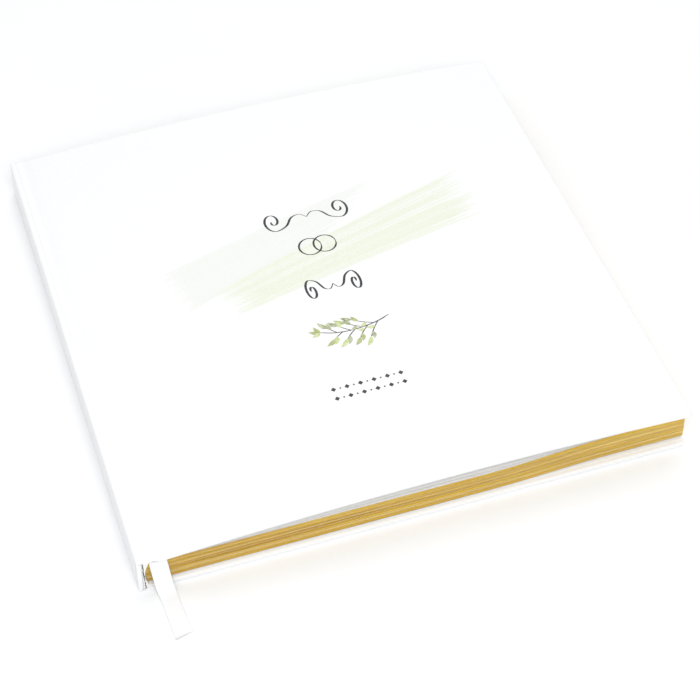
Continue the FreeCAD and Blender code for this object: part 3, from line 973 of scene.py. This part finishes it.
UPPER_MIDDLE, LOWER_MIDDLE = (108.8, 142.4), (107.2, 103.4)
UPPER_SIZE, LOWER_SIZE = (18.6, 11.5), (11.8, -12.0)
scrolls = [volute(UPPER_MIDDLE, side * UPPER_SIZE[0], UPPER_SIZE[1]) for side in (-1, 1)]
scrolls += [volute(LOWER_MIDDLE, side * LOWER_SIZE[0], LOWER_SIZE[1]) for side in (-1, 1)]
RING_CENTRES, RING_RADIUS = ((105.0, 125.6), (111.2, 125.6)), 4.6
ring_turns = [math.radians(15 * k) for k in range(25)]
rings = [pen_line([(x + RING_RADIUS * math.cos(turn), y + RING_RADIUS * math.sin(turn))
                   for turn in ring_turns], *RING_PEN, 2)
         for x, y in RING_CENTRES]
for scroll_number, scroll in enumerate(scrolls):
    printed("scroll_%d" % (scroll_number + 1), [scroll], black_ink,
            INK_LIFT + (scroll_number % 2) * INK_THICK)
for ring_number, ring in enumerate(rings):
    printed("ring_%d" % (ring_number + 1), [ring], black_ink, INK_LIFT + ring_number * INK_THICK)

LEAF_POINTS = 9
LEAF_CURVE, LEAF_FULLEST, LEAF_TIP = 0.08, 0.8, 0.01


def leaf_shape(base, angle, length, width):
    """A pointed leaf that grows from base."""
    way = Vector((math.cos(angle), math.sin(angle)))
    across = Vector((-way.y, way.x))
    sides = ([], [])
    for step in range(LEAF_POINTS):
        t = step / (LEAF_POINTS - 1)
        middle = Vector(base) + way * length * t
        middle += across * LEAF_CURVE * length * math.sin(math.pi * t)
        reach = width / 2 * math.sin(math.pi * t ** LEAF_FULLEST) + LEAF_TIP
        sides[0].append(tuple(middle + across * reach))
        sides[1].append(tuple(middle - across * reach))
    return sides


STEM = [(122.8, 80.9), (118.2, 79.1), (112.2, 77.9), (105.7, 77.5), (99.2, 78.3), (94.4, 80.1)]
SIDE_TWIGS = 4
FIRST_TWIG, TWIG_PITCH, TWIG_LAG = 0.22, 0.155, 0.06    # shares of the stem
TWIG_LENGTH, TWIG_SHORTER = 9.0, 1.5
TWIG_SPREAD, TWIG_BEND = math.radians(30), 0.16
LEAF_SPREAD = math.radians(38)
# the shortest, the longest and the width of a twig's leaves, and the length of the top ones
END_LEAF, SIDE_LEAF, ROOT_LEAF = (4.4, 5.4, 1.9), (3.6, 4.6, 1.7), (3.0, 3.8, 1.5)
TOP_LEAVES, TOP_TURN, TOP_WIDTH = ((0.0, 4.8), (0.7, 4.0), (-0.7, 4.0)), 0.35, 1.7
twigs, leaves = [pen_line(STEM, *STEM_PEN)], [[], [], []]
stem_line = smooth_run(STEM, 12)


def place_leaf(base, angle, length, width):
    """Each leaf is printed in one of the three leaf colours."""
    leaves[rng.randrange(3)].append(leaf_shape(base, angle, length, width))


def add_leaf(base, angle, size):
    """A leaf on a side twig, of about the size given."""
    shortest, longest, width = size
    place_leaf(base, angle, rng.uniform(shortest, longest), width)


for twig_number in range(SIDE_TWIGS):
    for side in (-1, 1):
        share = FIRST_TWIG + TWIG_PITCH * twig_number + TWIG_LAG * (side > 0)
        at = int(len(stem_line) * share)
        here, there = (Vector(stem_line[k]) for k in (at, at + 1))
        grow = math.atan2(*(there - here).yx) - side * TWIG_SPREAD
        long = (TWIG_LENGTH - TWIG_SHORTER * twig_number) * rng.uniform(0.92, 1.08)
        bend = -side * TWIG_BEND
        path = []
        for t in (0, 0.35, 0.7, 1):
            way = Vector((math.cos(grow + bend * t), math.sin(grow + bend * t)))
            path.append(tuple(here + way * long * t))
        twigs.append(pen_line(path, *TWIG_PEN))
        add_leaf(path[3], grow + bend, END_LEAF)
        add_leaf(path[2], grow - side * LEAF_SPREAD, SIDE_LEAF)
        if twig_number < 2:
            add_leaf(path[1], grow + side * LEAF_SPREAD * 1.3, ROOT_LEAF)
for turn, long in TOP_LEAVES:
    place_leaf(stem_line[-1], math.pi - TOP_TURN + turn, long, TOP_WIDTH)
printed("sprig_twigs", twigs, twig_ink, INK_LIFT)
for ink_number, group in enumerate(leaves):
    printed("sprig_leaves_%d" % (ink_number + 1), group, leaf_inks[ink_number],
            LEAF_LIFT + ink_number * INK_THICK)


def lozenge(x, y, size):
    """The upper and the lower side of a square that stands on its corner."""
    reach = size / 2
    return ([(x - reach, y), (x, y + reach), (x + reach, y)],
            [(x - reach, y), (x, y - reach), (x + reach, y)])


ORNAMENT_MIDDLE, ORNAMENT_PITCH = 103.6, 2.7
ORNAMENT_ROWS, ORNAMENTS_IN_ROW = (51.2, 46.6), 11
ORNAMENT_SIZES = (2.1, 0.9)
ornaments = []
for row_height in ORNAMENT_ROWS:
    for k in range(ORNAMENTS_IN_ROW):
        place = ORNAMENT_MIDDLE + (k - (ORNAMENTS_IN_ROW - 1) / 2) * ORNAMENT_PITCH
        ornaments.append(lozenge(place, row_height, ORNAMENT_SIZES[k % 2]))
printed("ornament_rows", ornaments, grey_ink, INK_LIFT)

# ---------------------------------------------------------------- camera, light and floor

CAMERA_AT = Vector((-0.16230, -0.46843, 0.54306))
CAMERA_TOWARD = Vector((0.22627, 0.61867, -0.75236))
CAMERA_ROLL = math.radians(1.696)
CAMERA_LENS, CAMERA_SENSOR = 92.5, 36

camera = bpy.data.objects.new("camera", bpy.data.cameras.new("camera"))
camera.data.lens = CAMERA_LENS
camera.data.sensor_width = CAMERA_SENSOR
camera.data.clip_start, camera.data.clip_end = 0.01, 20
camera.matrix_world = (Matrix.Translation(CAMERA_AT)
                       @ CAMERA_TOWARD.to_track_quat("-Z", "Y").to_matrix().to_4x4()
                       @ Matrix.Rotation(CAMERA_ROLL, 4, "Z"))
bpy.context.scene.collection.objects.link(camera)
bpy.context.scene.camera = camera
bpy.context.scene.view_settings.view_transform = "Standard"

WORLD_STRENGTH = 0.61
world = bpy.data.worlds.new("studio")
world.use_nodes = True
backdrop = world.node_tree.nodes["Background"]
backdrop.inputs["Color"].default_value = (1, 1, 1, 1)
backdrop.inputs["Strength"].default_value = WORLD_STRENGTH
bpy.context.scene.world = world


def softbox(name, place, size, power):
    """A large square light that looks at the middle of the book."""
    light = bpy.data.objects.new(name, bpy.data.lights.new(name, "AREA"))
    light.data.size = size
    light.data.energy = power
    light.location = place
    light.rotation_mode = "QUATERNION"
    light.rotation_quaternion = (-Vector(place)).to_track_quat("-Z", "Y")
    bpy.context.scene.collection.objects.link(light)


softbox("key_softbox", place=(-0.20, -0.90, 1.20), size=0.8, power=10.6)
softbox("fill_softbox", place=(0.4, 0.7, 1.3), size=1.2, power=5.2)

floor_paint = grained("floor_paint", (0.932, 0.944, 0.958), (0.952, 0.964, 0.978), 6, 0.9,
                      bump=0.0, specular=0.2)
FLOOR_HALF, FLOOR_GAP = 3.0, 0.02 * MM
floor_corners = [(x * FLOOR_HALF, y * FLOOR_HALF, -FLOOR_GAP)
                 for x, y in ((-1, -1), (1, -1), (1, 1), (-1, 1))]
floor = mesh_object("floor", floor_corners, [[0, 1, 2, 3]], [floor_paint], smooth=False)
